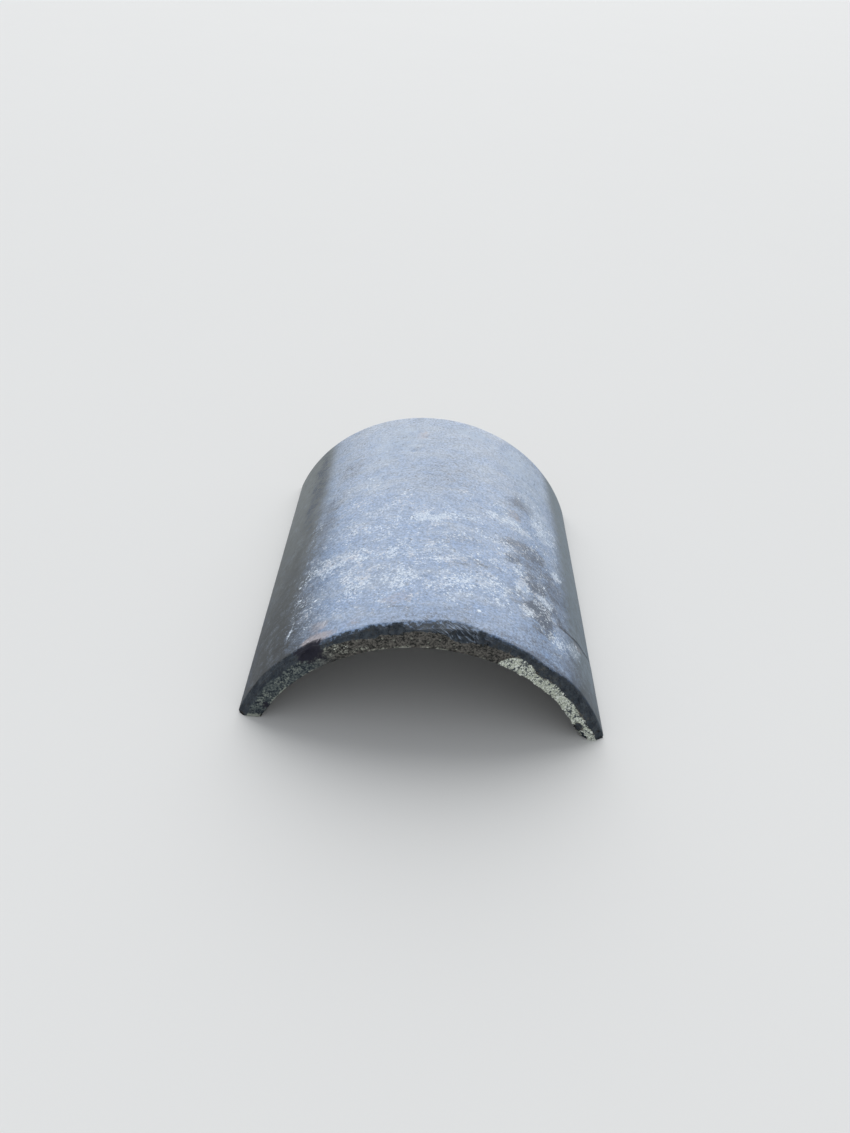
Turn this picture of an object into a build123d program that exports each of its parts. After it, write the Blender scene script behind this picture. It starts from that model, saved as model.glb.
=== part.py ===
from build123d import *
from math import cos, radians, sin, sqrt, tan
import os

# Clay ridge tile: one segment of a fired clay barrel, cut across at both ends.
# It lies on its two long bearing edges with the crown up, as it would over the ridge of a roof.
# The origin is the middle of the footprint, +Y runs along the ridge and +Z is up.
# The weathered end, with the worn arris and the chips, is the one towards -Y.

# Body of the tile, in millimetres
length = 305.0  # end to end along the ridge
width = 250.0  # across the two bearing edges, corner to corner
rise = 86.0  # from the bed up to the crown
wall = 16.5  # thickness of the clay, square to its surface

# Corners of the section, rounded by the die along the whole tile
outer_corner_round = 2.0
inner_corner_round = 3.0

# Ends, cut by wire: the near one is square, the far one leans and leaves the left side longer
far_cut_lean = 3.5  # in degrees
end_round = 1.2

# Worn arris round the outside of the near end, measured at the crown
worn_back = 6.8  # how far it reaches along the tile
worn_down = 4.8  # how far it reaches into the wall
worn_drift = 1.0  # how much deeper it is on the right-hand side

# Spall, a shallow scoop struck off the near end above the right bearing edge
spall_angle = 47.0  # round the barrel from the crown, in degrees
spall_inset = 5.0  # from the outside of the wall to its middle
spall_radius = 50.0
spall_depth = 3.0

# Broken toe, the inner corner of the right bearing edge at the near end
toe_radius = 11.0
toe_depth = 4.0

# The section is less than a half circle, so the barrel's axis lies below the bed
outer_radius = (rise**2 + (width / 2) ** 2) / (2 * rise)
inner_radius = outer_radius - wall
axis_height = rise - outer_radius
inner_half_width = sqrt(inner_radius**2 - axis_height**2)

# The leaning cut makes the left side this much longer than the ridge
lean_gain = (width / 2) * tan(radians(far_cut_lean))
near_end = -(length + lean_gain) / 2
far_end = near_end + length


def from_ridge(vertex):
    """Distance of a vertex from the upright plane through the ridge."""
    return abs(vertex.X)


def radial(angle):
    """Direction out of the barrel at an angle from the crown."""
    return Vector(sin(radians(angle)), 0, cos(radians(angle)))


def scoop(point, outward, radius, depth):
    """Place of a ball that bites to a depth below a point on the surface."""
    return Location(point + outward.normalized() * (radius - depth))


with BuildPart() as ridge_tile:
    # Barrel segment of even wall, with two flat bearing edges in the plane of the bed
    with BuildSketch(Plane.XZ.offset(-near_end)) as section:
        with BuildLine():
            ThreePointArc((-width / 2, 0), (0, rise), (width / 2, 0))
            Line((width / 2, 0), (inner_half_width, 0))
            ThreePointArc((inner_half_width, 0), (0, rise - wall), (-inner_half_width, 0))
            Line((-inner_half_width, 0), (-width / 2, 0))
        make_face()
        fillet(section.vertices().sort_by(from_ridge)[:2], radius=inner_corner_round)
        fillet(section.vertices().sort_by(from_ridge)[-2:], radius=outer_corner_round)
    extrude(amount=-(length + 2 * lean_gain))

    # Far end, cut across by a leaning wire
    far_cut = Plane(origin=(0, far_end, 0), z_dir=(tan(radians(far_cut_lean)), 1, 0))
    split(bisect_by=far_cut, keep=Keep.BOTTOM)

    # Both ends, rounded all the way round the section
    end_faces = ridge_tile.faces().sort_by(Axis.Y)
    fillet(end_faces[0].edges() + end_faces[-1].edges(), radius=end_round)

    # Worn arris: a cone whose axis stands left of the barrel's, so the wear deepens to the right
    worn_reach = 2 * worn_back
    worn_slope = worn_down / worn_back
    with BuildSketch(Plane.YZ.offset(-worn_drift)) as worn_profile:
        with BuildLine():
            Polyline(
                (near_end + worn_back - worn_reach, rise - worn_slope * worn_reach),
                (near_end + worn_back + worn_reach, rise + worn_slope * worn_reach),
                (near_end + worn_back - worn_reach, rise + worn_slope * worn_reach),
                close=True,
            )
        make_face()
    revolve(axis=Axis((-worn_drift, 0, axis_height), (0, 1, 0)), mode=Mode.SUBTRACT)

    # Spall, facing out of the end more than out of the barrel
    spall_middle = Vector(0, near_end, axis_height) + radial(spall_angle) * (outer_radius - spall_inset)
    spall_outward = radial(spall_angle) - Vector(0, 2, 0)
    with Locations(scoop(spall_middle, spall_outward, spall_radius, spall_depth)):
        Sphere(spall_radius, mode=Mode.SUBTRACT)

    # Broken toe, where the underside, the bearing edge and the near end meet
    toe_corner = Vector(inner_half_width, near_end, 0)
    toe_outward = Vector(-1, -1, -1)
    with Locations(scoop(toe_corner, toe_outward, toe_radius, toe_depth)):
        Sphere(toe_radius, mode=Mode.SUBTRACT)

ridge_tile.part.label = "ridge_tile"

os.makedirs("parts", exist_ok=True)
export_step(ridge_tile.part, "parts/ridge_tile.step")
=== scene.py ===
"""Dresses the packed model of a clay ridge tile: worn clay, mortar crust, lime specks and studio."""

from collections import namedtuple
from itertools import product
from math import cos, pi, radians, sin, sqrt, tan

import bmesh
import bpy
import numpy as np
from bpy.props import FloatProperty, FloatVectorProperty, IntProperty, PointerProperty
from bpy.types import Node, NodeSocket, Operator, Panel, PropertyGroup
from mathutils import Matrix, Vector


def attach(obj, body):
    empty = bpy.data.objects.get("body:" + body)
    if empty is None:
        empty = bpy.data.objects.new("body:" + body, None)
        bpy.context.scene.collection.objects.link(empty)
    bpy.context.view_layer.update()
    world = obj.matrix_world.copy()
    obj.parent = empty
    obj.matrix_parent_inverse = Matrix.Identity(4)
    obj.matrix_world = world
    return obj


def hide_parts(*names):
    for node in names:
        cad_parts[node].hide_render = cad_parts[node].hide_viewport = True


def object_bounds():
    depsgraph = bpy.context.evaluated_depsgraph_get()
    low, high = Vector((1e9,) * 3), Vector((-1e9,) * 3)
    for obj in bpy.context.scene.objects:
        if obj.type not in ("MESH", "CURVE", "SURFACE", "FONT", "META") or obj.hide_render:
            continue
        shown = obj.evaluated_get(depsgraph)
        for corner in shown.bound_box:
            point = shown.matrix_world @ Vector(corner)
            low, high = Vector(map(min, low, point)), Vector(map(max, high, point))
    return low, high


bl_info = {
    "name": "Clay Ridge Tile",
    "version": (1, 0, 0),
    "blender": (4, 5, 0),
    "location": "View3D > Sidebar > Ridge Tile",
    "description": "Builds a weathered clay ridge tile around its packed construction model",
    "category": "Mesh",
}

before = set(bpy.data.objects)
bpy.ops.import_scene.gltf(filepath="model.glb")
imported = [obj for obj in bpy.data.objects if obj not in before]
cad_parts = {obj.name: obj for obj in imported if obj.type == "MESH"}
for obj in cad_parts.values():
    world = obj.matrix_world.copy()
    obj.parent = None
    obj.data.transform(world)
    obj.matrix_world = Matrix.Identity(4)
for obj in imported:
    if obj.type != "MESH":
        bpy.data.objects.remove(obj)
CAD_LOW, CAD_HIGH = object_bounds()
NODE = "ridge_tile"
BODY = "root"


# Settings that a user would change. Lengths are in metres.


def length_setting(name, description, default):
    """A length that may not be negative."""
    return FloatProperty(
        name=name, description=description, default=default, min=0.0, precision=5, unit="LENGTH"
    )


def angle_setting(name, description, degrees):
    """An angle, whose default is given in degrees."""
    return FloatProperty(name=name, description=description, default=radians(degrees), subtype="ANGLE")


def number_setting(name, description, default):
    """A plain number that may not be negative."""
    return FloatProperty(name=name, description=description, default=default, min=0.0)


def count_setting(name, description, default):
    """A number of faces."""
    return IntProperty(name=name, description=description, default=default, min=2, max=400)


def colour_setting(name, description, default):
    """A linear colour without alpha."""
    return FloatVectorProperty(
        name=name, description=description, default=default, min=0.0, max=1.0, size=3, subtype="COLOR"
    )


class TileSizes(PropertyGroup):
    """Sizes of the clay barrel, the same as those of the construction model."""

    width: length_setting("Width", "Across the two bearing edges, corner to corner", 0.25)
    rise: length_setting("Rise", "From the bed up to the crown", CAD_HIGH.z)
    length: length_setting("Length", "End to end along the ridge", 0.305)
    wall: length_setting("Wall", "Thickness of the clay", 0.0165)
    outer_round: length_setting("Outer round", "Rounding of the outer corners of the section", 0.002)
    inner_round: length_setting("Inner round", "Rounding of the inner corners of the section", 0.003)
    end_round: length_setting("End round", "Rounding of the edges of the ends", 0.0012)
    far_lean: angle_setting("Far lean", "How far the far end leans from square", 3.5)
    columns: count_setting("Columns", "Faces round the barrel", 250)
    rows: count_setting("Rows", "Faces along the barrel", 168)
    layers: count_setting("Layers", "Faces through the wall", 14)


class TileWear(PropertyGroup):
    """How far the weather has worn the clay."""

    room: length_setting("Relief room", "How far the faces are sunk to leave room for relief", 0.00035)
    skin_relief: length_setting("Skin relief", "Unevenness of the outer face", 0.00028)
    cut_relief: length_setting("Cut relief", "Roughness of the wire-cut ends", 0.0007)
    broken_relief: length_setting("Broken relief", "Roughness of the worn arris", 0.0009)
    under_relief: length_setting("Drag relief", "Depth of the drag marks underneath", 0.0005)
    lip: length_setting("Lip", "Height of the lip on the right flank", 0.0014)


class TileColours(PropertyGroup):
    """Colours of the clay and of what lies on it."""

    body: colour_setting("Body", "Bare fired clay of the flanks", (0.158, 0.178, 0.182))
    # The dark body colour also serves for the painted shade along the lip's crease.
    body_dark: colour_setting("Dark body", "Blackened clay in the broad blotches", (0.015, 0.019, 0.024))
    # The two bloom colours are partly real bloom and partly painted reflection of the sky on the crown.
    bloom: colour_setting("Bloom", "Slate blue film on the crown", (0.245, 0.376, 0.622))
    bloom_grey: colour_setting("Grey bloom", "Greyer patches in the film", (0.370, 0.450, 0.580))
    veil: colour_setting("Veil", "Thin grey film on the right flank", (0.153, 0.199, 0.240))
    chalk: colour_setting("Chalk", "Pale clouds of lime on the film", (0.49, 0.575, 0.69))
    soot: colour_setting("Soot", "Dark clouds on the film", (0.033, 0.051, 0.086))
    salmon: colour_setting("Salmon", "Oxidised clay along the arris", (0.42, 0.345, 0.335))
    broken: colour_setting("Broken", "Broken clay of the worn arris", (0.021, 0.029, 0.041))
    worn: colour_setting("Worn clay", "Lighter parts of the worn arris", (0.068, 0.082, 0.096))
    core: colour_setting("Core", "Wire-cut clay of the ends", (0.165, 0.156, 0.140))
    core_dark: colour_setting("Dark core", "Pores and dirt in the ends", (0.020, 0.021, 0.020))
    slate: colour_setting("Slate", "Greenish left part of the near end", (0.140, 0.165, 0.160))
    violet: colour_setting("Violet", "Vitrified stain on the end", (0.016, 0.014, 0.026))
    underside: colour_setting("Underside", "Rough clay inside the barrel", (0.100, 0.092, 0.080))
    lichen: colour_setting("Lichen", "Greenish lichen in the mortar", (0.60, 0.64, 0.54))
    mortar: colour_setting("Mortar", "Crumbs of lime mortar", (0.88, 0.92, 0.84))
    mortar_dark: colour_setting("Dark mortar", "Hollows of the crumbs", (0.31, 0.33, 0.27))
    lime: colour_setting("Lime", "Specks of lime on the outer face", (0.76, 0.84, 0.93))
    lime_dark: colour_setting("Dark lime", "Hollows of the specks", (0.34, 0.37, 0.42))


class StageSettings(PropertyGroup):
    """The studio and the view."""

    floor: colour_setting("Floor", "Plain pale floor", (0.78, 0.78, 0.77))
    floor_size: length_setting("Floor size", "Side of the square floor", 64.0)
    backdrop: colour_setting("Backdrop", "What the camera sees beyond the floor", (0.735, 0.752, 0.745))
    sun: number_setting("Key strength", "Irradiance of the soft key light", 2.45)
    sun_width: angle_setting("Key width", "Angle that the key light fills", 80)
    sun_tilt: angle_setting("Key tilt", "How far the key stands behind the tile", 52)
    fill: colour_setting("Fill", "Colour of the even fill light", (0.93, 0.96, 1.0))
    fill_strength: number_setting("Fill strength", "Strength of the even fill light", 0.52)
    lens: number_setting("Lens", "Focal length in millimetres", 28.756)
    azimuth: angle_setting("Azimuth", "Heading of the view", 1.0513)
    descent: angle_setting("Descent", "Slope of the view", 34.5589)
    roll: angle_setting("Roll", "Roll of the camera", 4.7763)


SETTINGS = {
    "ridge_sizes": TileSizes,
    "ridge_wear": TileWear,
    "ridge_colours": TileColours,
    "ridge_stage": StageSettings,
}

CAMERA_PLACE = Vector((-0.01469, -0.59602, 0.43610))
SENSOR_HEIGHT = 36.0


# Marks seen on the tile. Angles are in degrees from the crown, to the right where above zero, and
# distances in metres from the plane of the near end.

# A patch: its middle, its reach round the barrel and along it, its strength, and its turn in degrees
Mark = namedtuple("Mark", "angle along wide long strength turn", defaults=(0,))

CHALK_AND_SHEEN_MARKS = (
    Mark(-3, 0.135, 0.019, 0.005, 1.0, 8),
    Mark(10, 0.142, 0.018, 0.0045, 0.6, 12),
    Mark(24, 0.158, 0.016, 0.007, 0.7, 15),
    Mark(31, 0.154, 0.008, 0.006, 0.8),
    Mark(24, 0.172, 0.01, 0.008, 0.5),
    Mark(46, 0.126, 0.005, 0.007, 0.9, -40),
    # The next three marks are partly chalk and partly painted sheen, lightening the right of the crown
    # towards the far end.
    Mark(42, 0.185, 0.016, 0.026, 0.75),
    Mark(36, 0.262, 0.028, 0.034, 0.75),
    Mark(38, 0.222, 0.018, 0.024, 0.65),
    Mark(-14, 0.262, 0.024, 0.022, 0.6),
    Mark(13, 0.284, 0.017, 0.008, 0.85),
    Mark(-19, 0.245, 0.014, 0.03, 0.45),
    Mark(-21, 0.2, 0.008, 0.016, 0.45),
    Mark(-22, 0.28, 0.012, 0.01, 0.4),
    Mark(-33, 0.092, 0.016, 0.014, 0.45),
    Mark(-24, 0.09, 0.01, 0.012, 0.36),
    Mark(-27, 0.07, 0.008, 0.012, 0.45),
    Mark(-20, 0.055, 0.013, 0.01, 0.45),
    Mark(-11, 0.056, 0.01, 0.01, 0.5),
    Mark(-10, 0.092, 0.014, 0.01, 0.45),
    Mark(5, 0.083, 0.014, 0.006, 0.45, 20),
    Mark(9, 0.06, 0.018, 0.012, 0.4),
    Mark(19, 0.06, 0.014, 0.014, 0.5),
    Mark(29, 0.078, 0.006, 0.008, 0.85, -20),
    Mark(37.5, 0.075, 0.008, 0.004, 0.85, -25),
    Mark(28, 0.093, 0.003, 0.003, 1.0),
    Mark(30, 0.051, 0.007, 0.005, 0.6),
    Mark(52, 0.055, 0.009, 0.005, 0.5, 20),
    Mark(49, 0.046, 0.01, 0.006, 0.6, -20),
    Mark(42, 0.038, 0.006, 0.005, 0.8, 30),
    Mark(40, 0.019, 0.012, 0.004, 0.35, 10),
    Mark(-44, 0.034, 0.0011, 0.008, 1.0, -14),
)

SOOT_AND_SHADE_MARKS = (
    Mark(38, 0.1, 0.026, 0.03, 0.62),
    Mark(32, 0.128, 0.02, 0.012, 0.75, 10),
    Mark(34, 0.085, 0.014, 0.008, 0.88),
    Mark(42, 0.096, 0.012, 0.01, 0.72, -20),
    Mark(34, 0.053, 0.016, 0.01, 1.15, -10),
    Mark(36, 0.02, 0.03, 0.012, 0.36),
    Mark(34, 0.032, 0.008, 0.006, 0.4),
    Mark(-48, 0.245, 0.011, 0.07, 0.5),
    Mark(27, 0.06, 0.01, 0.014, 0.45),
    Mark(35, 0.04, 0.012, 0.007, 0.72),
    Mark(37.5, 0.064, 0.008, 0.005, 0.85),
    Mark(27, 0.108, 0.012, 0.008, 0.7, 30),
    Mark(40, 0.07, 0.016, 0.007, 0.85, -10),
    Mark(52, 0.066, 0.02, 0.004, 0.8, 4),
    Mark(31, 0.193, 0.014, 0.012, 0.66),
    Mark(28, 0.172, 0.01, 0.007, 0.5),
    Mark(-37, 0.165, 0.008, 0.03, 0.45),
    Mark(-32, 0.235, 0.01, 0.02, 0.3),
    Mark(5, 0.2, 0.024, 0.026, 0.22),
    Mark(12, 0.082, 0.024, 0.006, 0.4, 15),
    Mark(8, 0.108, 0.024, 0.006, 0.3, 10),
    Mark(-6, 0.024, 0.024, 0.004, 0.3),
    Mark(10, 0.01, 0.06, 0.017, 0.3),
    Mark(34, 0.003, 0.05, 0.008, 0.72),
    Mark(24, 0.01, 0.016, 0.006, 0.5),
    # This last mark is painted shade, darkening the left flank along its foot.
    Mark(-67, 0.06, 0.01, 0.08, 0.35),
)

SALMON_MARKS = (
    Mark(-33, 0.01, 0.012, 0.0045, 0.8),
    Mark(-33, 0.023, 0.008, 0.006, 0.5),
    Mark(-9, 0.034, 0.011, 0.0055, 0.42, 15),
    Mark(-24.5, 0.092, 0.0045, 0.005, 0.55),
    Mark(-26, 0.066, 0.005, 0.007, 0.4),
    Mark(4, 0.082, 0.006, 0.005, 0.4),
    Mark(-22, 0.015, 0.008, 0.004, 0.35),
    Mark(28, 0.172, 0.007, 0.007, 0.4),
    Mark(-5.5, 0.27, 0.006, 0.008, 0.5),
    Mark(54, 0.06, 0.008, 0.004, 0.4, 20),
)

# Bluish strokes across the arris
STROKE_MARKS = (Mark(9, 0.005, 0.016, 0.01, 1.0),)

# Patches on the near end, where the second number is the depth into the wall
GREEN_MARKS = (
    Mark(-27, 0.006, 0.008, 0.005, 0.6),
    Mark(-22, 0.012, 0.01, 0.003, 0.48),
    Mark(-42, 0.008, 0.009, 0.005, 0.4),
    Mark(-50, 0.01, 0.01, 0.0045, 0.42),
    Mark(-58, 0.01, 0.009, 0.004, 0.42),
)

VIOLET_MARKS = (
    Mark(-36, 0.004, 0.0095, 0.007, 1.0),
    Mark(-60.5, 0.013, 0.003, 0.0025, 0.6),
)

# Bright specks of lime that stand out: their reach, and each one's angle and distance from the near end
LIME_REACH = 0.0016
LIME_SPOTS = (
    (-13, 0.096), (-15, 0.068), (-21, 0.097), (-32, 0.096), (-33, 0.083), (-37, 0.09),
    (-40, 0.09), (-24, 0.077), (-20, 0.063), (-17, 0.042), (-10, 0.058), (-14, 0.088),
    (-42, 0.055), (-24, 0.03), (-47, 0.018), (13.5, 0.093), (9.5, 0.088), (12.5, 0.045),
    (18, 0.05), (25, 0.058), (27.5, 0.093), (28.5, 0.077), (37, 0.074), (42.5, 0.08),
    (45.5, 0.127), (45, 0.122), (50, 0.049), (51.5, 0.053), (40, 0.031), (41.5, 0.038),
    (39, 0.018),
)

# Small pits in the skin: angle, distance from the near end, radius and depth
Pit = namedtuple("Pit", "angle along radius depth")

PITS = (
    Pit(-5.8, 0.029, 0.0016, 0.0011),
    Pit(-2.2, 0.057, 0.0026, 0.0006),
    Pit(-33.8, 0.076, 0.0018, 0.0007),
    Pit(-31.0, 0.022, 0.0019, 0.0008),
    Pit(2.2, 0.038, 0.002, 0.0006),
    Pit(-8.5, 0.241, 0.0024, 0.0009),
    Pit(-4.0, 0.266, 0.0022, 0.0007),
    Pit(-34.0, 0.038, 0.0012, 0.0006),
    Pit(15.5, 0.049, 0.0012, 0.0005),
    Pit(26.0, 0.104, 0.003, 0.0008),
    Pit(-17.5, 0.022, 0.0015, 0.0005),
    Pit(-24.0, 0.062, 0.0014, 0.0005),
    Pit(36.5, 0.068, 0.0018, 0.0006),
)

# Chips bitten out of the near end by balls: angle of the bite's middle and its depth into the wall,
# radius of the ball, depth of the bite, and distance of its middle from the end
Chip = namedtuple("Chip", "angle inset radius depth along")

CHIPS = (
    Chip(47.0, 0.005, 0.05, 0.003, 0.0),
    Chip(-16.7, 0.001, 0.009, 0.0016, 0.005),
    Chip(-9.3, 0.001, 0.007, 0.0012, 0.006),
    Chip(-36.0, 0.003, 0.012, 0.0026, 0.001),
    Chip(-48.0, 0.001, 0.01, 0.0014, 0.004),
    Chip(9.0, 0.001, 0.016, 0.0022, 0.004),
    Chip(14.5, 0.001, 0.008, 0.0012, 0.006),
    Chip(61.0, 0.015, 0.0035, 0.0022, 0.0),
    Chip(67.5, 0.001, 0.01, 0.0034, 0.001),
    Chip(65.5, 0.0165, 0.011, 0.004, 0.0),
    Chip(-68.5, 0.0, 0.008, 0.0026, 0.0),
    Chip(-65.0, 0.0165, 0.007, 0.002, 0.0),
    Chip(33.0, 0.0165, 0.02, 0.0012, 0.0),
    Chip(46.0, 0.0165, 0.026, 0.0016, 0.0),
)

# Worn arris: angle, and how far the wear reaches back from the end and down into the wall
ARRIS = (
    (-69, 0.005, 0.006), (-58, 0.006, 0.0048), (-52, 0.0082, 0.0045), (-43, 0.0062, 0.004),
    (-35, 0.008, 0.006), (-29, 0.0056, 0.0032), (-17, 0.007, 0.0045), (-9, 0.007, 0.0038),
    (-4, 0.0078, 0.0024), (6, 0.0112, 0.0032), (11, 0.0108, 0.0045), (16, 0.0074, 0.0048),
    (24, 0.0048, 0.005), (30, 0.0034, 0.0052), (35, 0.0012, 0.004), (40, 0.0038, 0.005),
    (50, 0.007, 0.0065), (56, 0.0048, 0.006), (69, 0.0045, 0.005),
)

# Outer edge of the mortar crust on the near end: angle and depth into the wall
CRUST_EDGE = (
    (21.5, 0.018), (22.5, 0.0115), (26, 0.005), (31, 0.0056), (35.5, 0.0095), (39, 0.0076),
    (47, 0.0068), (54, 0.008), (59, 0.008), (63, 0.0066), (67, 0.006),
)

# Round spot near the right foot where the crust has fallen away
FALLEN_ANGLE = 60.3
FALLEN_DEPTH = 0.0145
FALLEN_RADIUS = 0.0038

# Edges of the pale film, which is partly real bloom and partly painted reflection of the sky, so its edges
# lie where that painted reflection ends: distance from the near end, left angle, right angle and softness in
# degrees
FILM_AND_SHEEN_EDGE = (
    (0.0, -35.0, 46.0, 24.0), (0.03, -38.0, 47.0, 22.0), (0.06, -39.0, 47.5, 20.0),
    (0.09, -39.5, 48.0, 20.0), (0.133, -40.0, 49.0, 18.0), (0.176, -41.5, 50.5, 13.0),
    (0.22, -42.5, 51.0, 9.0), (0.312, -43.5, 49.0, 8.0),
)

# Lip on the right flank, where the swelling at the near end stops: angle and distance
LIP_LINE = (
    (36, 0.064), (40, 0.057), (46.5, 0.062), (50, 0.0645), (54.4, 0.068), (59, 0.069), (65, 0.0745),
)


class Barrel:
    """The construction's sizes, worked out from the driving ones."""

    def __init__(self, sizes):
        half = sizes.width / 2
        self.wall = sizes.wall
        self.outer = (sizes.rise**2 + half**2) / (2 * sizes.rise)
        self.inner = self.outer - sizes.wall
        self.axis = sizes.rise - self.outer
        self.lean = tan(sizes.far_lean)
        self.length = sizes.length
        self.near = -(sizes.length + half * self.lean) / 2
        self.far = self.near + sizes.length

    def place(self, degrees, depth, along):
        """Point at an angle, a depth below the outer face and a distance from the near end."""
        angle = radians(degrees)
        radius = self.outer - depth
        return Vector((radius * sin(angle), self.near + along, self.axis + radius * cos(angle)))


class Spots:
    """Points of the tile, with their angle, their depth below the outer face and their place along it."""

    def __init__(self, points, barrel):
        x, y, z = points.T
        self.points = points
        self.barrel = barrel
        self.angle = np.arctan2(x, z - barrel.axis)
        self.degrees = np.degrees(self.angle)
        self.depth = barrel.outer - np.hypot(x, z - barrel.axis)
        self.along = y - barrel.near
        self.past_far = (y - barrel.far + x * barrel.lean) / sqrt(1 + barrel.lean**2)


# Soft random patterns over space, for the shape of the wear and the edges of the marks

LATTICE_SEED = 11
LATTICE_SIDE = 32
LATTICE = np.random.default_rng(LATTICE_SEED).uniform(-1.0, 1.0, (LATTICE_SIDE,) * 3)
OCTAVE_SHIFT = 7.31


def cloud(points, size, octaves=3, offset=0.0):
    """Random values of about -1 to 1 with blotches of the given size, and finer ones in them."""
    total = np.zeros(len(points))
    for octave in range(octaves):
        spot = points * (2**octave / size) + offset + OCTAVE_SHIFT * octave
        cell = np.floor(spot).astype(int)
        part = spot - cell
        part = part * part * (3 - 2 * part)
        for corner in product((0, 1), repeat=3):
            share = np.prod(np.where(corner, part, 1 - part), axis=1)
            x, y, z = ((cell + corner) % LATTICE_SIDE).T
            total += 0.5**octave * share * LATTICE[x, y, z]
    return total


def smooth(values):
    """An even step from 0 to 1, level at both ends."""
    t = np.clip(values, 0.0, 1.0)
    return t * t * (3 - 2 * t)


def step(values, start, end):
    """0 up to the start, 1 from the end on, and smooth between them. The start may be the larger."""
    return smooth((values - start) / (end - start))


def follow(curve, where, column):
    """Reads one column of a given curve at the given places."""
    stops = [row[0] for row in curve]
    return np.interp(where, stops, [row[column] for row in curve])


def spread(mark, spots, along):
    """Distance from the middle of a mark, as a share of its reach."""
    across = (spots.angle - radians(mark.angle)) * spots.barrel.outer
    ahead = along - mark.along
    turn = radians(mark.turn)
    return np.hypot(
        (across * cos(turn) + ahead * sin(turn)) / mark.wide,
        (ahead * cos(turn) - across * sin(turn)) / mark.long,
    )


def cover(marks, spots, ragged, along=None):
    """How strongly marks cover each point. On an end, the depth takes the place of the distance along."""
    along = spots.along if along is None else along
    total = np.zeros(len(along))
    for mark in marks:
        reach = spread(mark, spots, along) + ragged
        total = np.maximum(total, mark.strength * step(reach, 1.5, 0.5))
    return total


# The worn shape, as a distance that is below zero inside the clay

# Rounding where one chip meets the next, and where the broken clay meets the skin
CHIP_ROUND = 0.0010
WEAR_ROUND = 0.0008
# How much further a chip's ball leans out of the end than out of the face beside it
CHIP_TILT = 1.6
# Length of the lip's face, and where the hollow behind it starts to rise and is level again
LIP_FACE = 0.0022
HOLLOW_START = 0.012
HOLLOW_END = 0.062


def rounded_max(a, b, size):
    """The larger of two distances, with the corner between them rounded."""
    overlap = np.maximum(size - np.abs(a - b), 0.0) / size
    return np.maximum(a, b) + 0.25 * size * overlap**2


def arris_distance(spots):
    """Distance outside the worn face that runs round the near end."""
    ragged = cloud(spots.points, 0.007, offset=3.0)
    back = follow(ARRIS, spots.degrees, 1) * (1 + 0.16 * ragged)
    down = follow(ARRIS, spots.degrees, 2) * (1 + 0.10 * ragged)
    slope = np.sqrt(1 / back**2 + 1 / down**2)
    return (1 - spots.along / back - spots.depth / down) / slope


def lip_place(degrees, along):
    """Distance behind the lip on the right flank, and its share of the full height there."""
    return along - follow(LIP_LINE, degrees, 1), step(degrees, 38, 47) * step(degrees, 69, 65)


def lip_step(spots, wear):
    """How far the right flank is sunk behind the lip, before the hollow there runs out."""
    behind, share = lip_place(spots.degrees, spots.along)
    return wear.lip * share * step(behind, 0.0, LIP_FACE) * step(behind, HOLLOW_END, HOLLOW_START)


def lip_shade_and_dirt(spots, ragged):
    """Painted shade with some dirt, on the lip and just behind it, and along the foot of the swelling."""
    behind, share = lip_place(spots.degrees, spots.along + 0.0007 * ragged)
    on_lip = np.sqrt(share) * step(behind, -0.0030, -0.0006) * step(behind, 0.0060, 0.0)
    at_foot = step(spots.degrees + ragged, 64, 67)
    at_foot *= step(spots.along, 0.014, 0.034) * step(spots.along, 0.076, 0.052)
    return np.maximum(on_lip, 0.4 * at_foot)


def pit_depth(points, barrel):
    """How deep the small pits reach at each point."""
    depth = np.zeros(len(points))
    for pit in PITS:
        middle = np.array(barrel.place(pit.angle, 0.0, pit.along))
        reach = np.linalg.norm(points - middle, axis=1) / pit.radius
        depth = np.maximum(depth, pit.depth * smooth(1.6 - 1.2 * reach))
    return depth


def chip_distance(points, chip, barrel):
    """Distance into the ball that bites a chip out of the near end."""
    edge = barrel.place(chip.angle, chip.inset, chip.along)
    side = 1.0 if chip.inset < barrel.wall / 2 else -1.0
    angle = radians(chip.angle)
    outward = Vector((sin(angle) * side, -CHIP_TILT, cos(angle) * side)).normalized()
    middle = np.array(edge + outward * (chip.radius - chip.depth))
    return chip.radius - np.linalg.norm(points - middle, axis=1)


def broken_distance(spots):
    """Distance outside everything that is broken or worn away at the near end."""
    broken = arris_distance(spots)
    for chip in CHIPS:
        broken = rounded_max(broken, chip_distance(spots.points, chip, spots.barrel), CHIP_ROUND)
    return broken


def clay_distance(points, barrel, sizes, wear):
    """Distance outside the worn tile."""
    spots = Spots(points, barrel)
    outside = wear.room - spots.depth + lip_step(spots, wear) + pit_depth(points, barrel)
    under = spots.depth - barrel.wall + wear.room
    ends = np.maximum(-spots.along, spots.past_far) + wear.room
    bed = -points[:, 2]
    bed_round = np.where(outside > under, sizes.outer_round, sizes.inner_round)
    whole = rounded_max(np.maximum(outside, under), bed, bed_round)
    whole = rounded_max(whole, ends, sizes.end_round)
    return rounded_max(whole, broken_distance(spots), WEAR_ROUND)


SETTLE_STEPS = 5
PROBE = 2e-5


def settle(points, distance):
    """Moves points along the slope of a distance until they lie where it is zero."""
    for _ in range(SETTLE_STEPS):
        slope = np.empty_like(points)
        for axis, shift in enumerate(np.eye(3) * PROBE):
            slope[:, axis] = (distance(points + shift) - distance(points - shift)) / (2 * PROBE)
        here = distance(points) / np.maximum((slope**2).sum(axis=1), 0.25)
        points = points - slope * here[:, None]
    return points


# Node trees


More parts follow.
